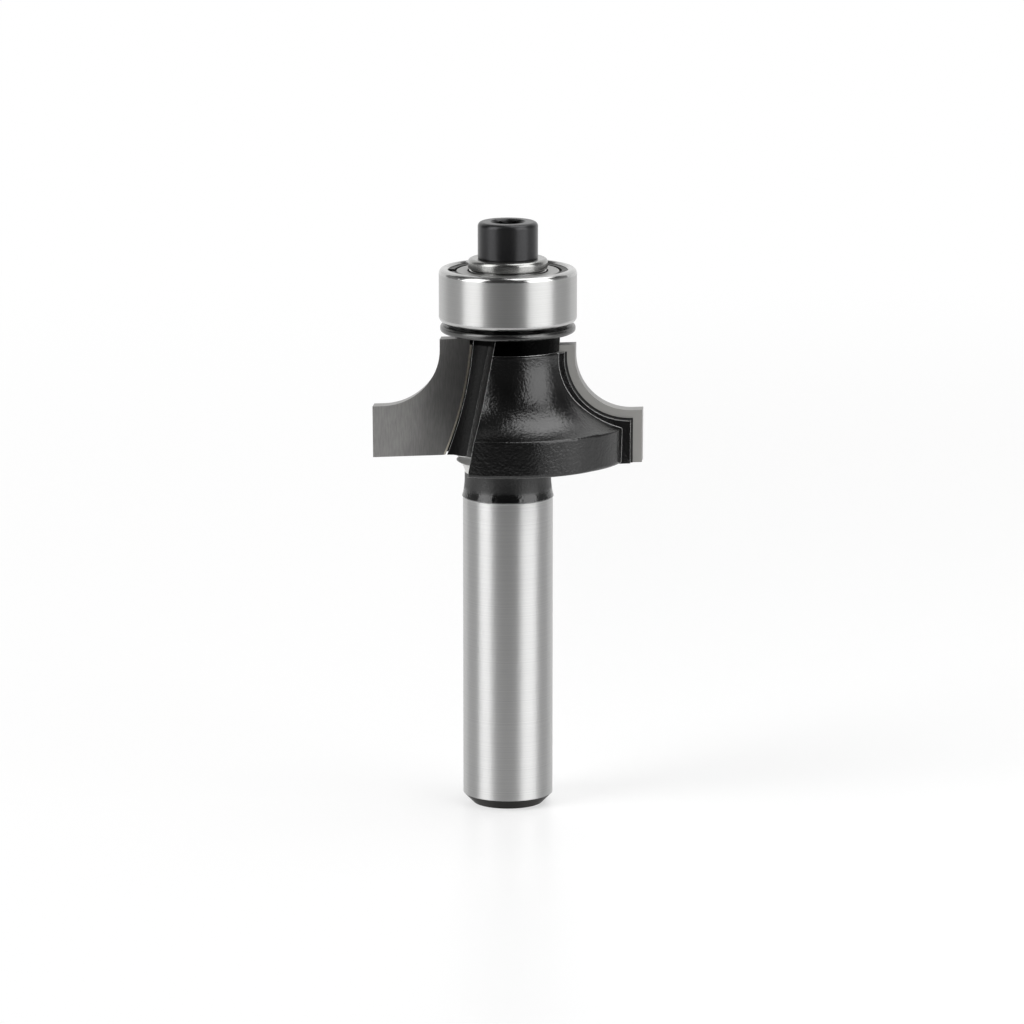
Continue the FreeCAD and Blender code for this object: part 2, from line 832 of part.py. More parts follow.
os.makedirs("parts", exist_ok=True)
for name, feature in nodes.items():
    shape = feature.Shape
    if shape.isNull() or not shape.isValid():
        raise RuntimeError(f"{name} has no valid shape")
    shape.exportStep(f"parts/{name}.step")
    print(f"{name}: {len(shape.Solids)} solid, {shape.Volume:.3f} mm3")
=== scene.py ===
import math

import bpy
import numpy as np
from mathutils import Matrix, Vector

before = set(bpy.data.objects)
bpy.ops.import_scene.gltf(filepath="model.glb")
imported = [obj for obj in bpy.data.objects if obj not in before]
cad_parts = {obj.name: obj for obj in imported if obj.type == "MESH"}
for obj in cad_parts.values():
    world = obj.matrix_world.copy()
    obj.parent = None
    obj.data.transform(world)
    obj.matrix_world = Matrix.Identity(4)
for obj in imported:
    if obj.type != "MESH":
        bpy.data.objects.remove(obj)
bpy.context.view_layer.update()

# Camera. The photograph was taken from half a metre away through a long lens, straight in front
# of the bit, looking down by about eleven degrees.
PICTURE_WIDTH = 1024
FOCAL_LENGTH_IN_PIXELS = 5737.8
CAMERA_PLACE = Vector((0.000364, -0.50005, 0.12774))
CAMERA_AIM = Vector((0.000364, 0, 0.026406))
camera = bpy.data.objects.new("camera", bpy.data.cameras.new("camera"))
camera.data.sensor_width = 36
camera.data.lens = camera.data.sensor_width * FOCAL_LENGTH_IN_PIXELS / PICTURE_WIDTH
camera.data.clip_start = 0.01
camera.location = CAMERA_PLACE
camera.rotation_euler = (CAMERA_AIM - CAMERA_PLACE).to_track_quat("-Z", "Y").to_euler()
bpy.context.scene.collection.objects.link(camera)
bpy.context.scene.camera = camera
bpy.context.scene.view_settings.view_transform = "Standard"

# Table. A white satin plastic sheet that runs back and curves up into a backdrop. It is painted
# grey towards the photographer as painted shade, where no lamp reaches, and the bright steel mirrors that.
TABLE_HALF_WIDTH = 0.9
TABLE_FRONT = -0.9
TABLE_BELOW_FOOT = 0.00001
BACKDROP_PLACE = 0.7
BACKDROP_BEND = 0.25
BACKDROP_HEIGHT = 0.9
PAINTED_SHADE_UNTIL, WHITE_FROM = -0.125, -0.07
GLOW_LEFT_OF_BIT, GLOW_RIGHT_OF_BIT = 0.85, 0.5
GLOW_FALLS_FROM, GLOW_FALLS_UNTIL = -0.012, 0.006
GLOW_RISES_FROM, GLOW_FULL_FROM = 0.05, 0.3


def linear(colour):
    """The linear values, with alpha 1, of an sRGB hex colour: v / 12.92 for the darkest tones,
    and else ((v + 0.055) / 1.055) to the power 2.4."""
    channels = [int(colour[start:start + 2], 16) / 255 for start in (1, 3, 5)]
    return (*[v / 12.92 if v <= 0.04045 else ((v + 0.055) / 1.055) ** 2.4 for v in channels], 1)


def finish(name):
    """An empty node material."""
    made = bpy.data.materials.new(name)
    made.use_nodes = True
    made.node_tree.nodes.clear()
    return made


def add(owner, kind, inputs=None, **settings):
    """A node of a material or the world, with its settings. Inputs gives each socket a value, or
    the socket that feeds it; a mix of two colours has its factor at 0 and the colours at 6 and 7."""
    made = owner.node_tree.nodes.new(kind)
    for name, value in settings.items():
        setattr(made, name, value)
    for key, value in (inputs or {}).items():
        if isinstance(value, bpy.types.NodeSocket):
            owner.node_tree.links.new(value, made.inputs[key])
        else:
            made.inputs[key].default_value = value
    return made


def sheet_of_quads(name, points):
    """A mesh through a grid of points, rows by columns; each face joins four neighbours."""
    rows, columns = points.shape[:2]
    number = np.arange(rows * columns).reshape(rows, columns)
    faces = np.stack([number[:-1, :-1], number[:-1, 1:], number[1:, 1:], number[1:, :-1]], axis=-1)
    mesh = bpy.data.meshes.new(name)
    mesh.from_pydata(points.reshape(-1, 3).tolist(), [], faces.reshape(-1, 4).tolist())
    mesh.shade_smooth()
    made = bpy.data.objects.new(name, mesh)
    bpy.context.scene.collection.objects.link(made)
    return made


# straight run, quarter circle and upright wall, as (Y, Z), carried along X
bend = np.linspace(0, math.pi / 2, 25)
profile = np.concatenate([
    [[TABLE_FRONT, 0]],
    np.stack([BACKDROP_PLACE - BACKDROP_BEND + BACKDROP_BEND * np.sin(bend),
              BACKDROP_BEND - BACKDROP_BEND * np.cos(bend)], axis=1),
    [[BACKDROP_PLACE, BACKDROP_HEIGHT]],
])
widths = np.linspace(-TABLE_HALF_WIDTH, TABLE_HALF_WIDTH, 3)
table_points = np.zeros((len(widths), len(profile), 3))
table_points[..., 0] = widths[:, None]
table_points[..., 1:] = profile[None]
table_points[..., 2] -= TABLE_BELOW_FOOT
table = sheet_of_quads("table", table_points)

white_plastic = finish("white satin plastic sheet")
place = add(white_plastic, "ShaderNodeTexCoord")
across, along, up = add(white_plastic, "ShaderNodeSeparateXYZ", {"Vector": place.outputs["Object"]}).outputs
# painted shade: grey at the front of the table, white further back
painted_shade_fade = add(white_plastic, "ShaderNodeMapRange", {
    "Value": along, "From Min": PAINTED_SHADE_UNTIL, "From Max": WHITE_FROM}, interpolation_type="SMOOTHSTEP")
tone = add(white_plastic, "ShaderNodeMix", {
    0: painted_shade_fade.outputs["Result"], 6: linear("#505051"), 7: linear("#ffffff")}, data_type="RGBA")
surface = add(white_plastic, "ShaderNodeBsdfPrincipled", {
    "Base Color": tone.outputs[2], "Roughness": 0.3, "IOR": 1.45})
# a sheet lit from all round looks white, so the eye and the bright metal see a share of plain
# white mixed into the lit surface: all of it far behind the bit, less around the bit, and least
# on the bit's right, where the shadow falls; the larger share on the bit's left is painted light
# over the shadow there
glow = add(white_plastic, "ShaderNodeEmission", {"Color": tone.outputs[2], "Strength": 1.0})
rays = add(white_plastic, "ShaderNodeLightPath")
seen = add(white_plastic, "ShaderNodeMath", {
    0: rays.outputs["Is Camera Ray"], 1: rays.outputs["Is Glossy Ray"]}, operation="MAXIMUM")
seen = add(white_plastic, "ShaderNodeMath", {
    0: seen.outputs[0], 1: rays.outputs["Is Transmission Ray"]}, operation="MAXIMUM")
# painted light: a larger share of glow left of the bit, over the shadow there
painted_light_across = add(white_plastic, "ShaderNodeMapRange", {
    "Value": across, "From Min": GLOW_FALLS_FROM, "From Max": GLOW_FALLS_UNTIL,
    "To Min": GLOW_LEFT_OF_BIT, "To Max": GLOW_RIGHT_OF_BIT}, interpolation_type="SMOOTHSTEP")
share = add(white_plastic, "ShaderNodeMapRange", {
    "Value": along, "From Min": GLOW_RISES_FROM, "From Max": GLOW_FULL_FROM,
    "To Min": painted_light_across.outputs["Result"], "To Max": 1.0}, interpolation_type="SMOOTHSTEP")
share = add(white_plastic, "ShaderNodeMath", {
    0: share.outputs["Result"], 1: seen.outputs[0]}, operation="MULTIPLY")
mixed = add(white_plastic, "ShaderNodeMixShader", {
    0: share.outputs[0], 1: surface.outputs[0], 2: glow.outputs[0]})
add(white_plastic, "ShaderNodeOutputMaterial", {"Surface": mixed.outputs[0]})
table.data.materials.append(white_plastic)

# Lamps. Two upright softboxes stand on the table, left and right and a little in front of the
# bit, and a third hangs over it on the right. Their reflections are the soft bright bands on
# the steel.
LAMPS = {
    "left softbox": {
        "place": (-0.352, -0.191, 0.34), "aim": (0, 0, 0.30), "size": (0.27, 0.68), "level": 3.3},
    "right softbox": {
        "place": (0.334, -0.221, 0.25), "aim": (0, 0, 0.25), "size": (0.34, 0.50), "level": 3.0},
    "top softbox": {
        "place": (0.17, 0.06, 0.5), "aim": (0, 0, 0.03), "size": (0.34, 0.34), "level": 3.4},
}
for name, lamp in LAMPS.items():
    light = bpy.data.lights.new(name, "AREA")
    light.shape = "RECTANGLE"
    light.size, light.size_y = lamp["size"]
    light.energy = lamp["level"] * math.pi * light.size * light.size_y
    softbox = bpy.data.objects.new(name, light)
    softbox.location = lamp["place"]
    softbox.rotation_euler = (Vector(lamp["aim"]) - softbox.location).to_track_quat("-Z", "Y").to_euler()
    softbox.visible_camera = False
    bpy.context.scene.collection.objects.link(softbox)

# Room. Dim walls of one grey, darker behind the photographer and darker again overhead.
WALL_LEVEL, DARK_WALL_LEVEL = 0.33, 0.09
DARK_WALL_EDGE, LIT_WALL_EDGE = -0.85, -0.2
CEILING_SHARE = 0.3
WALL_TOP, CEILING_EDGE = 0.1, 0.6
room = bpy.data.worlds.new("dim room")
bpy.context.scene.world = room
room.use_nodes = True
way = add(room, "ShaderNodeTexCoord")
across, along, up = add(room, "ShaderNodeSeparateXYZ", {"Vector": way.outputs["Generated"]}).outputs
wall = add(room, "ShaderNodeMapRange", {
    "Value": along, "From Min": DARK_WALL_EDGE, "From Max": LIT_WALL_EDGE,
    "To Min": DARK_WALL_LEVEL, "To Max": WALL_LEVEL}, interpolation_type="SMOOTHSTEP")
ceiling = add(room, "ShaderNodeMapRange", {
    "Value": up, "From Min": WALL_TOP, "From Max": CEILING_EDGE,
    "To Min": 1.0, "To Max": CEILING_SHARE}, interpolation_type="SMOOTHSTEP")
dim = add(room, "ShaderNodeMath", {
    0: wall.outputs["Result"], 1: ceiling.outputs["Result"]}, operation="MULTIPLY")
background = room.node_tree.nodes["Background"]
background.inputs["Color"].default_value = linear("#ffffff")
room.node_tree.links.new(dim.outputs[0], background.inputs["Strength"])

# Steel bit. One bar of tool steel: the shank is ground bright all the way round, with its end
# chamfered, and everything above it wears a thin black satin coating, a little pebbled. At the foot
# of each gullet the steel is painted pale and matt, a painted highlight. Heights are in mm.
FOOT_CHAMFER, SHANK_TOP = 0.9, 27.9
GLOSSY_NECK_END, DULL_NECK_START = 28.5, 28.9
DULL_NECK_END, SATIN_WING_START = 31.0, 31.4
UNPAINTED_WING_END, PAINTED_SHADE_HUB_START = 41.25, 41.35
RUN_OUT_BOTTOM, RUN_OUT_TOP = 30.15, 31.24
RUN_OUT_INNER, RUN_OUT_OUTER, RUN_OUT_BACK = 2.95, 5.35, 1.5
WING_TOP = 41.29
GULLET_EDGE_AT_TOP, GULLET_EDGE_LEAN, GULLET_BACK = 1.72, 0.2, 2.6
GULLET_ROUGHER, GULLET_PAINTED_SHADE = 0.2, 0.75
PAINTED_HIGHLIGHT_MATTER = 0.7
EDGE_ROUNDING, RUBBED_AND_GLINT_ROUNDING = 0.00012, 0.00009


def millimetres(material):
    """A piece's own coordinates, which are in metres, times 1000."""
    place = add(material, "ShaderNodeTexCoord")
    scaled = add(material, "ShaderNodeVectorMath", {
        0: place.outputs["Object"], "Scale": 1000}, operation="SCALE")
    return scaled.outputs[0]


def outwards_and_ahead(material, across, along):
    """X and Y, each times the sign of X: the same numbers on wing 1, which lies at negative X,
    and on wing 2, which is wing 1 turned half round the axis."""
    side = add(material, "ShaderNodeMath", {0: across}, operation="SIGN")
    outwards = add(material, "ShaderNodeMath", {0: across, 1: side.outputs[0]}, operation="MULTIPLY")
    ahead = add(material, "ShaderNodeMath", {0: along, 1: side.outputs[0]}, operation="MULTIPLY")
    return outwards.outputs[0], ahead.outputs[0]


def from_axis(material, in_mm):
    """How far a point lies from the bit's axis: the length of its X and Y, without Z."""
    level = add(material, "ShaderNodeVectorMath", {0: in_mm, 1: (1, 1, 0)}, operation="MULTIPLY")
    length = add(material, "ShaderNodeVectorMath", {0: level.outputs[0]}, operation="LENGTH")
    return length.outputs["Value"]


tool_steel = finish("ground and black coated tool steel")
in_mm = millimetres(tool_steel)
across, along, up = add(tool_steel, "ShaderNodeSeparateXYZ", {"Vector": in_mm}).outputs
outwards, ahead = outwards_and_ahead(tool_steel, across, along)
# the wheel's marks run round the shank, 0.1 mm wide and finer; the chamfer at its end is painted dark,
# painted shade for the shadowed table it mirrors
marks = add(tool_steel, "ShaderNodeTexNoise", {
    "W": up, "Scale": 9, "Detail": 4, "Roughness": 0.7}, noise_dimensions="1D")
worn = add(tool_steel, "ShaderNodeMapRange", {"Value": marks.outputs[0], "From Min": 0.3, "From Max": 0.7})
bare = add(tool_steel, "ShaderNodeMix", {
    0: worn.outputs[0], 6: linear("#bababa"), 7: linear("#c7c7c6")}, data_type="RGBA")
# painted shade: the chamfer's dark colour
chamfered = add(tool_steel, "ShaderNodeMath", {0: up, 1: FOOT_CHAMFER}, operation="LESS_THAN")
bare = add(tool_steel, "ShaderNodeMix", {
    0: chamfered.outputs[0], 6: bare.outputs[2], 7: linear("#343332")}, data_type="RGBA")
# 1 on the pale matt area at the foot of each gullet, a painted highlight
low = add(tool_steel, "ShaderNodeMath", {0: up, 1: RUN_OUT_TOP}, operation="LESS_THAN")
high = add(tool_steel, "ShaderNodeMath", {0: up, 1: RUN_OUT_BOTTOM}, operation="GREATER_THAN")
far = add(tool_steel, "ShaderNodeMath", {0: outwards, 1: RUN_OUT_INNER}, operation="GREATER_THAN")
front = add(tool_steel, "ShaderNodeMath", {0: ahead, 1: -RUN_OUT_BACK}, operation="GREATER_THAN")
near = add(tool_steel, "ShaderNodeMath", {
    0: from_axis(tool_steel, in_mm), 1: RUN_OUT_OUTER}, operation="LESS_THAN")
painted_highlight_patch = low
for limit in (high, far, front, near):
    painted_highlight_patch = add(tool_steel, "ShaderNodeMath", {
        0: painted_highlight_patch.outputs[0], 1: limit.outputs[0]}, operation="MULTIPLY")
bare = add(tool_steel, "ShaderNodeMix", {
    0: painted_highlight_patch.outputs[0], 6: bare.outputs[2], 7: linear("#d8d8d6")}, data_type="RGBA")
metal = add(tool_steel, "ShaderNodeMath", {
    0: painted_highlight_patch.outputs[0], 1: -PAINTED_HIGHLIGHT_MATTER, 2: 1.0}, operation="MULTIPLY_ADD")
soft_edges = add(tool_steel, "ShaderNodeBevel", {"Radius": EDGE_ROUNDING}, samples=4)
scratches = add(tool_steel, "ShaderNodeBump", {
    "Strength": 0.5, "Distance": 0.00002, "Height": marks.outputs[0], "Normal": soft_edges.outputs[0]})
tangent = add(tool_steel, "ShaderNodeTangent", direction_type="RADIAL", axis="Z")
ground = add(tool_steel, "ShaderNodeBsdfPrincipled", {
    "Base Color": bare.outputs[2], "Metallic": metal.outputs[0], "Roughness": 0.44, "Anisotropic": 0.95,
    "Anisotropic Rotation": 0.25, "Tangent": tangent.outputs[0], "Normal": scratches.outputs[0]})
# the coating's pebbles are a little over 0.2 mm across, with softer waves of 0.9 mm under them
waves = add(tool_steel, "ShaderNodeTexNoise", {"Vector": in_mm, "Scale": 1.1, "Detail": 1})
pebbles = add(tool_steel, "ShaderNodeTexNoise", {
    "Vector": in_mm, "Scale": 4.5, "Detail": 2, "Roughness": 0.5})
swell = add(tool_steel, "ShaderNodeBump", {
    "Strength": 0.35, "Distance": 0.00006, "Height": waves.outputs[0], "Normal": soft_edges.outputs[0]})
pebbled = add(tool_steel, "ShaderNodeBump", {
    "Strength": 1.0, "Distance": 0.00003, "Height": pebbles.outputs[0], "Normal": swell.outputs[0]})
coat_tone = add(tool_steel, "ShaderNodeMix", {
    0: pebbles.outputs[0], 6: linear("#040404"), 7: linear("#080808")}, data_type="RGBA")
# glossy at the neck's foot, dull on the rest of the neck and satin on the wings
satin = add(tool_steel, "ShaderNodeMapRange", {
    "Value": up, "From Min": DULL_NECK_END, "From Max": SATIN_WING_START, "To Min": 0.46, "To Max": 0.22})
glossy = add(tool_steel, "ShaderNodeMapRange", {
    "Value": up, "From Min": GLOSSY_NECK_END, "From Max": DULL_NECK_START,
    "To Min": 0.13, "To Max": satin.outputs[0]})
# duller again in the gullets, which open outwards from a leaning line; the gullets are made blacker,
# and the hub under the washer wholly black, as painted shade; black metal has none of the clear
# shine that lies over the coating elsewhere
raised = add(tool_steel, "ShaderNodeMath", {0: up, 1: WING_TOP}, operation="SUBTRACT")
edge = add(tool_steel, "ShaderNodeMath", {
    0: raised.outputs[0], 1: -GULLET_EDGE_LEAN, 2: GULLET_EDGE_AT_TOP}, operation="MULTIPLY_ADD")
beyond = add(tool_steel, "ShaderNodeMath", {0: outwards, 1: edge.outputs[0]}, operation="GREATER_THAN")
open_side = add(tool_steel, "ShaderNodeMath", {0: ahead, 1: -GULLET_BACK}, operation="GREATER_THAN")
gullet = beyond
for limit in (open_side, high):
    gullet = add(tool_steel, "ShaderNodeMath", {
        0: gullet.outputs[0], 1: limit.outputs[0]}, operation="MULTIPLY")
rough = add(tool_steel, "ShaderNodeMath", {
    0: gullet.outputs[0], 1: GULLET_ROUGHER, 2: glossy.outputs[0]}, operation="MULTIPLY_ADD")
# painted shade under the washer: the hub turns to black metal
painted_hub_shade = add(tool_steel, "ShaderNodeMapRange", {
    "Value": up, "From Min": UNPAINTED_WING_END, "From Max": PAINTED_SHADE_HUB_START})
painted_shade_black = add(tool_steel, "ShaderNodeMath", {
    0: gullet.outputs[0], 1: GULLET_PAINTED_SHADE, 2: painted_hub_shade.outputs[0]}, operation="MULTIPLY_ADD", use_clamp=True)
coat = add(tool_steel, "ShaderNodeBsdfPrincipled", {
    "Base Color": coat_tone.outputs[2], "Metallic": painted_shade_black.outputs[0], "Roughness": rough.outputs[0],
    "IOR": 1.55, "Normal": pebbled.outputs[0]})
# the coating is worn thin on the sharp edges, where the rounded normal leaves the flat one; the bare steel
# there is also a painted glint along each edge
round_edges = add(tool_steel, "ShaderNodeBevel", {"Radius": RUBBED_AND_GLINT_ROUNDING}, samples=8)
shape = add(tool_steel, "ShaderNodeNewGeometry")
alike = add(tool_steel, "ShaderNodeVectorMath", {
    0: round_edges.outputs[0], 1: shape.outputs["Normal"]}, operation="DOT_PRODUCT")
rubbed_and_glint_edges = add(tool_steel, "ShaderNodeMapRange", {
    "Value": alike.outputs["Value"], "From Min": 0.99, "From Max": 0.94, "To Max": 0.9})
covered = add(tool_steel, "ShaderNodeMath", {0: up, 1: SHANK_TOP}, operation="GREATER_THAN")
for missing in (painted_highlight_patch, rubbed_and_glint_edges):
    covered = add(tool_steel, "ShaderNodeMath", {
        0: covered.outputs[0], 1: missing.outputs[0]}, operation="SUBTRACT", use_clamp=True)
mixed = add(tool_steel, "ShaderNodeMixShader", {
    0: covered.outputs[0], 1: ground.outputs[0], 2: coat.outputs[0]})
add(tool_steel, "ShaderNodeOutputMaterial", {"Surface": mixed.outputs[0]})


def dress(material, *names):
    """Gives CAD nodes a material through their object's own slot."""
    for name in names:
        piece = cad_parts[name]
        slot = piece.material_slots[0]
        slot.link = "OBJECT"
        slot.material = material


dress(tool_steel, "bit_body")

# Carbide tips. Sintered tungsten carbide, mid grey, ground with a diamond wheel that leaves fine
# steep lines on the rake face, and painted darker towards the brazed edge, a painted reflection of
# the dark gullet. The back face is left as it was sintered, a little paler.
HOOK, SHEAR = math.radians(10), math.radians(4)
CUTTER_RADIUS, LEDGE = 12, 35.94
TIP_BACK = 1.4
BRAZED_EDGE_LEAN = 0.229
DARKEST_UNTIL, UNDARKENED_FROM = 13.6, 17.6
LINE_TILT = math.radians(24)


def behind_rake(material, outwards, ahead, up):
    """How far a point lies behind its own rake face, which passes through the cutting edge at the
    height of the ledge: minus ahead times cos(hook), minus the way in from the cutting circle
    times sin(hook), plus the height above the ledge times tan(shear)."""
    inwards = add(material, "ShaderNodeMath", {0: CUTTER_RADIUS, 1: outwards}, operation="SUBTRACT")
    depth = add(material, "ShaderNodeMath", {0: inwards.outputs[0], 1: -math.sin(HOOK)}, operation="MULTIPLY")
    depth = add(material, "ShaderNodeMath", {
        0: ahead, 1: -math.cos(HOOK), 2: depth.outputs[0]}, operation="MULTIPLY_ADD")
    raised = add(material, "ShaderNodeMath", {0: up, 1: LEDGE}, operation="SUBTRACT")
    depth = add(material, "ShaderNodeMath", {
        0: raised.outputs[0], 1: math.tan(SHEAR), 2: depth.outputs[0]}, operation="MULTIPLY_ADD")
    return depth.outputs[0]


carbide = finish("diamond ground tungsten carbide")
in_mm = millimetres(carbide)
across, along, up = add(carbide, "ShaderNodeSeparateXYZ", {"Vector": in_mm}).outputs
outwards, ahead = outwards_and_ahead(carbide, across, along)
back = add(carbide, "ShaderNodeMath", {
    0: behind_rake(carbide, outwards, ahead, up), 1: TIP_BACK}, operation="GREATER_THAN")
# the painted reflection is even all along the brazed edge, which leans by about 13 degrees, and grows lighter
# away from it
leaning = add(carbide, "ShaderNodeMath", {0: up, 1: BRAZED_EDGE_LEAN, 2: outwards}, operation="MULTIPLY_ADD")
painted_gullet_reflection = add(carbide, "ShaderNodeMapRange", {
    "Value": leaning.outputs[0], "From Min": DARKEST_UNTIL, "From Max": UNDARKENED_FROM,
    "To Min": 0.58, "To Max": 1.0}, interpolation_type="SMOOTHSTEP")
# the wheel's lines are 0.1 mm apart and over a millimetre long, and lie over soft clouds
line_way = add(carbide, "ShaderNodeMapping", {
    "Vector": in_mm, "Rotation": (0, LINE_TILT, 0), "Scale": (9, 9, 0.8)})
lines = add(carbide, "ShaderNodeTexNoise", {
    "Vector": line_way.outputs[0], "Scale": 1, "Detail": 3, "Roughness": 0.6})
clouds = add(carbide, "ShaderNodeTexNoise", {"Vector": in_mm, "Scale": 0.6, "Detail": 2, "Roughness": 0.5})
line_tone = add(carbide, "ShaderNodeMapRange", {"Value": lines.outputs[0], "From Min": 0.3, "From Max": 0.7})
cloud_tone = add(carbide, "ShaderNodeMapRange", {
    "Value": clouds.outputs[0], "From Min": 0.3, "From Max": 0.7, "To Min": -0.15, "To Max": 0.15})
tone = add(carbide, "ShaderNodeMath", {0: line_tone.outputs[0], 1: cloud_tone.outputs[0]}, operation="ADD")
rake = add(carbide, "ShaderNodeMix", {
    0: tone.outputs[0], 6: linear("#949392"), 7: linear("#a6a5a3")}, data_type="RGBA")
reflection_darkened_rake = add(carbide, "ShaderNodeVectorMath", {
    0: rake.outputs[2], "Scale": painted_gullet_reflection.outputs[0]}, operation="SCALE")
colour = add(carbide, "ShaderNodeMix", {
    0: back.outputs[0], 6: reflection_darkened_rake.outputs[0], 7: linear("#a9a8a5")}, data_type="RGBA")
relief = add(carbide, "ShaderNodeBump", {"Strength": 0.25, "Distance": 0.00001, "Height": lines.outputs[0]})
surface = add(carbide, "ShaderNodeBsdfPrincipled", {
    "Base Color": colour.outputs[2], "Metallic": 0.9, "Roughness": 0.42, "Normal": relief.outputs[0]})
add(carbide, "ShaderNodeOutputMaterial", {"Surface": surface.outputs[0]})
dress(carbide, "carbide_tip_1", "carbide_tip_2")

# Brazing. Silver-brass filler, a hair thick behind each tip and a small bead along its inner
# edge, as it flowed: pale, bright and uneven there, and black with coating where it shows
# behind the tip.
COATED_BACK = 1.0
braze = finish("silver brass filler")
in_mm = millimetres(braze)
across, along, up = add(braze, "ShaderNodeSeparateXYZ", {"Vector": in_mm}).outputs
outwards, ahead = outwards_and_ahead(braze, across, along)
back = add(braze, "ShaderNodeMath", {
    0: behind_rake(braze, outwards, ahead, up), 1: COATED_BACK}, operation="GREATER_THAN")
# it set in ripples of a third of a millimetre
flow = add(braze, "ShaderNodeTexNoise", {"Vector": in_mm, "Scale": 3, "Detail": 3, "Roughness": 0.6})
filler = add(braze, "ShaderNodeMix", {
    0: flow.outputs[0], 6: linear("#e6e0d2"), 7: linear("#b8b2a4")}, data_type="RGBA")
colour = add(braze, "ShaderNodeMix", {
    0: back.outputs[0], 6: filler.outputs[2], 7: linear("#0d0d0d")}, data_type="RGBA")
metal = add(braze, "ShaderNodeMath", {0: 1.0, 1: back.outputs[0]}, operation="SUBTRACT")
relief = add(braze, "ShaderNodeBump", {"Strength": 0.5, "Distance": 0.00004, "Height": flow.outputs[0]})
surface = add(braze, "ShaderNodeBsdfPrincipled", {
    "Base Color": colour.outputs[2], "Metallic": metal.outputs[0], "Roughness": 0.4,
    "Normal": relief.outputs[0]})
add(braze, "ShaderNodeOutputMaterial", {"Surface": surface.outputs[0]})
dress(braze, "braze_1", "braze_2")

# Bearing rings. Bearing steel, ground all over; the outer ring's running face is finished finely
# round and round, which draws each lamp out into an upright band, and its corners are smoother.
RING_MIDDLE = 46.005
FACE_END, CORNER_START = 1.9, 2.0
bearing_steel = finish("ground bearing steel")
in_mm = millimetres(bearing_steel)
across, along, up = add(bearing_steel, "ShaderNodeSeparateXYZ", {"Vector": in_mm}).outputs
# the finishing marks are under 0.1 mm wide
marks = add(bearing_steel, "ShaderNodeTexNoise", {
    "W": up, "Scale": 12, "Detail": 3, "Roughness": 0.7}, noise_dimensions="1D")
worn = add(bearing_steel, "ShaderNodeMapRange", {"Value": marks.outputs[0], "From Min": 0.3, "From Max": 0.7})
colour = add(bearing_steel, "ShaderNodeMix", {
    0: worn.outputs[0], 6: linear("#b3b3b2"), 7: linear("#bdbdbc")}, data_type="RGBA")
off = add(bearing_steel, "ShaderNodeMath", {0: up, 1: RING_MIDDLE}, operation="SUBTRACT")
off = add(bearing_steel, "ShaderNodeMath", {0: off.outputs[0]}, operation="ABSOLUTE")
corner = add(bearing_steel, "ShaderNodeMapRange", {
    "Value": off.outputs[0], "From Min": FACE_END, "From Max": CORNER_START, "To Min": 0.42, "To Max": 0.22})
relief = add(bearing_steel, "ShaderNodeBump", {
    "Strength": 0.15, "Distance": 0.00001, "Height": marks.outputs[0]})
tangent = add(bearing_steel, "ShaderNodeTangent", direction_type="RADIAL", axis="Z")
surface = add(bearing_steel, "ShaderNodeBsdfPrincipled", {
    "Base Color": colour.outputs[2], "Metallic": 1.0, "Roughness": corner.outputs[0], "Anisotropic": 0.92,
    "Anisotropic Rotation": 0.25, "Tangent": tangent.outputs[0], "Normal": relief.outputs[0]})
add(bearing_steel, "ShaderNodeOutputMaterial", {"Surface": surface.outputs[0]})
dress(bearing_steel, "bearing_outer_ring", "bearing_inner_ring")

# Bearing balls. The same steel, lapped and polished almost to a mirror, with a trace of haze.
polished = finish("polished bearing steel")
haze = add(polished, "ShaderNodeTexNoise", {
    "Vector": millimetres(polished), "Scale": 3, "Detail": 2, "Roughness": 0.5})
roughness = add(polished, "ShaderNodeMapRange", {"Value": haze.outputs[0], "To Min": 0.06, "To Max": 0.14})
surface = add(polished, "ShaderNodeBsdfPrincipled", {
    "Base Color": linear("#c9c9c8"), "Metallic": 1.0, "Roughness": roughness.outputs[0]})
add(polished, "ShaderNodeOutputMaterial", {"Surface": surface.outputs[0]})
dress(polished, *[f"bearing_ball_{number}" for number in range(1, 8)])

# Cage and shields. Thin mild steel sheet, pressed to shape and tumbled dull; the cage's two
# ribbons are riveted between the balls. Beyond 4.54 mm from the axis, where the shields' rims sink
# into the outer ring, the sheet is painted dark as painted shade.
DARK_RIM = 4.54
sheet_steel = finish("tumbled pressed steel sheet")
in_mm = millimetres(sheet_steel)
# tumbling leaves dents 0.2 mm across
mottle = add(sheet_steel, "ShaderNodeTexNoise", {"Vector": in_mm, "Scale": 5, "Detail": 3, "Roughness": 0.6})
clean = add(sheet_steel, "ShaderNodeMix", {
    0: mottle.outputs[0], 6: linear("#a5a5a4"), 7: linear("#bdbdbb")}, data_type="RGBA")
# painted shade on the sunk rims
painted_rim_shade = add(sheet_steel, "ShaderNodeMix", {
    0: mottle.outputs[0], 6: linear("#161616"), 7: linear("#4a4a49")}, data_type="RGBA")
rim = add(sheet_steel, "ShaderNodeMath", {
    0: from_axis(sheet_steel, in_mm), 1: DARK_RIM}, operation="GREATER_THAN")
colour = add(sheet_steel, "ShaderNodeMix", {
    0: rim.outputs[0], 6: clean.outputs[2], 7: painted_rim_shade.outputs[2]}, data_type="RGBA")
relief = add(sheet_steel, "ShaderNodeBump", {
    "Strength": 0.2, "Distance": 0.00001, "Height": mottle.outputs[0]})
surface = add(sheet_steel, "ShaderNodeBsdfPrincipled", {
    "Base Color": colour.outputs[2], "Metallic": 0.9, "Roughness": 0.5, "Normal": relief.outputs[0]})
add(sheet_steel, "ShaderNodeOutputMaterial", {"Surface": surface.outputs[0]})
dress(sheet_steel, "cage_half_lower", "cage_half_upper", "cage_rivets",
      "bearing_shield_lower", "bearing_shield_upper")

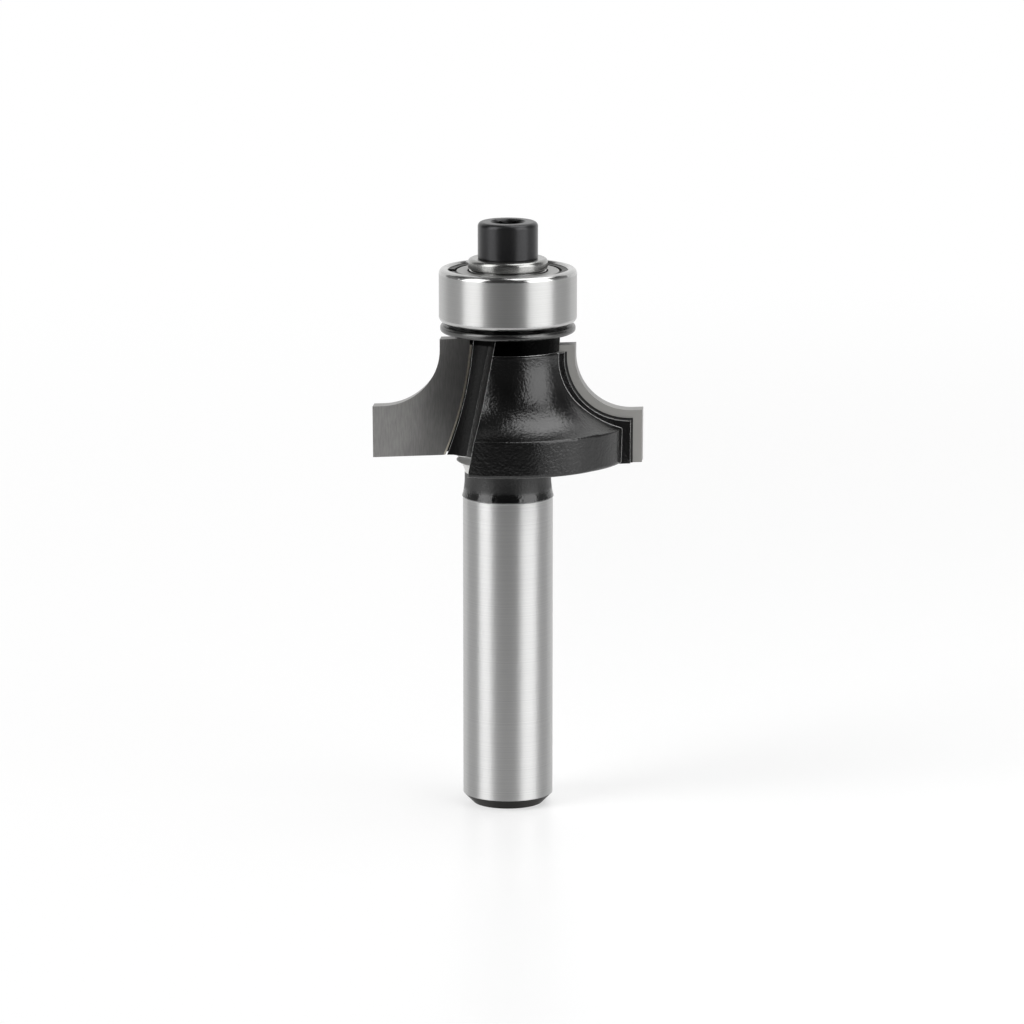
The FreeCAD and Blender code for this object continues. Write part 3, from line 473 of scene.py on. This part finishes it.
# Snap rings. Spring steel wire, darkened unevenly when it was tempered. Each springs out into
# the outer ring and holds its shield down.
spring_steel = finish("dark spring steel wire")
mottle = add(spring_steel, "ShaderNodeTexNoise", {
    "Vector": millimetres(spring_steel), "Scale": 4, "Detail": 3, "Roughness": 0.7})
colour = add(spring_steel, "ShaderNodeMix", {
    0: mottle.outputs[0], 6: linear("#1a1a1a"), 7: linear("#5c5c5a")}, data_type="RGBA")
surface = add(spring_steel, "ShaderNodeBsdfPrincipled", {
    "Base Color": colour.outputs[2], "Metallic": 0.9, "Roughness": 0.42})
add(spring_steel, "ShaderNodeOutputMaterial", {"Surface": surface.outputs[0]})
dress(spring_steel, "shield_clip_lower", "shield_clip_upper")

# Washers. Turned steel discs with fine lathe marks round their rims. The lower one, under the
# bearing, is painted dark as painted shade; the upper one, under the screw's head, is paler.
BETWEEN_WASHERS = 47
washer_steel = finish("turned steel with painted shade")
across, along, up = add(washer_steel, "ShaderNodeSeparateXYZ", {"Vector": millimetres(washer_steel)}).outputs
marks = add(washer_steel, "ShaderNodeTexNoise", {
    "W": up, "Scale": 14, "Detail": 3, "Roughness": 0.7}, noise_dimensions="1D")
# the lower washer's colour, painted dark as painted shade under the bearing
oxide = add(washer_steel, "ShaderNodeMix", {
    0: marks.outputs[0], 6: linear("#4e4e4e"), 7: linear("#686867")}, data_type="RGBA")
upper = add(washer_steel, "ShaderNodeMath", {0: up, 1: BETWEEN_WASHERS}, operation="GREATER_THAN")
colour = add(washer_steel, "ShaderNodeMix", {
    0: upper.outputs[0], 6: oxide.outputs[2], 7: linear("#9c9c9a")}, data_type="RGBA")
tangent = add(washer_steel, "ShaderNodeTangent", direction_type="RADIAL", axis="Z")
surface = add(washer_steel, "ShaderNodeBsdfPrincipled", {
    "Base Color": colour.outputs[2], "Metallic": 1.0, "Roughness": 0.27, "Anisotropic": 0.5,
    "Anisotropic Rotation": 0.25, "Tangent": tangent.outputs[0]})
add(washer_steel, "ShaderNodeOutputMaterial", {"Surface": surface.outputs[0]})
dress(washer_steel, "dust_washer", "retaining_washer")

# Cap screw. A small socket-head screw in satin black oxide with a grain of 0.1 mm, cold headed,
# with its hexagon socket punched down into the head and painted darker within, as painted shade.
# It clamps the upper washer, the bearing's inner ring and the dust washer down on the hub.
SOCKET_RADIUS, SOCKET_INSIDE = 1.5, 1.4
black_oxide = finish("black oxide steel")
in_mm = millimetres(black_oxide)
grains = add(black_oxide, "ShaderNodeTexNoise", {"Vector": in_mm, "Scale": 8, "Detail": 2, "Roughness": 0.6})
oxide = add(black_oxide, "ShaderNodeMix", {
    0: grains.outputs[0], 6: linear("#333334"), 7: linear("#3d3d3e")}, data_type="RGBA")
# painted shade within the socket
socket_painted_shade = add(black_oxide, "ShaderNodeMapRange", {
    "Value": from_axis(black_oxide, in_mm), "From Min": SOCKET_RADIUS, "From Max": SOCKET_INSIDE})
colour = add(black_oxide, "ShaderNodeMix", {
    0: socket_painted_shade.outputs[0], 6: oxide.outputs[2], 7: linear("#0c0c0c")}, data_type="RGBA")
relief = add(black_oxide, "ShaderNodeBump", {
    "Strength": 0.3, "Distance": 0.000008, "Height": grains.outputs[0]})
tangent = add(black_oxide, "ShaderNodeTangent", direction_type="RADIAL", axis="Z")
surface = add(black_oxide, "ShaderNodeBsdfPrincipled", {
    "Base Color": colour.outputs[2], "Metallic": 0.8, "Roughness": 0.34, "Anisotropic": 0.4,
    "Anisotropic Rotation": 0.25, "Tangent": tangent.outputs[0], "Normal": relief.outputs[0]})
add(black_oxide, "ShaderNodeOutputMaterial", {"Surface": surface.outputs[0]})
dress(black_oxide, "cap_screw")
